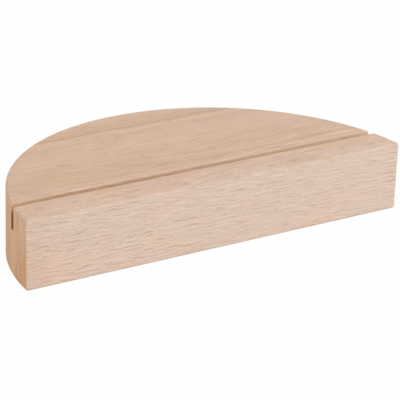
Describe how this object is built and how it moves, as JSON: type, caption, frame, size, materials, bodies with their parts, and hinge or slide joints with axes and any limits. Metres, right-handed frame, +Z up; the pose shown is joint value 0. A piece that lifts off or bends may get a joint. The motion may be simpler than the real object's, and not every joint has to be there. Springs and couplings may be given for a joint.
{
  "type": "place card holder",
  "caption": "Half-round beech block with a straight front face and one saw-cut slot along it that holds a place card upright.",
  "frame": {"origin": "middle of the underside: centre of the bounding box in X and Y, at the height of the surface it stands on", "axes": "+Z up; +X along the straight front face, to the right as seen from the front; the front face looks along -Y and the crown of the curve is at +Y"},
  "size_m": [0.12, 0.057, 0.02],
  "materials": {
    "beech_front": "fine sanded, satin oil",
    "beech_rear": "fine sanded, satin oil",
    "wood_glue": "matt cured glue"
  },
  "bodies": {
    "root": {"front_stave": "beech_front", "glue_line": "wood_glue", "rear_stave": "beech_rear"}
  },
  "joints": []
}
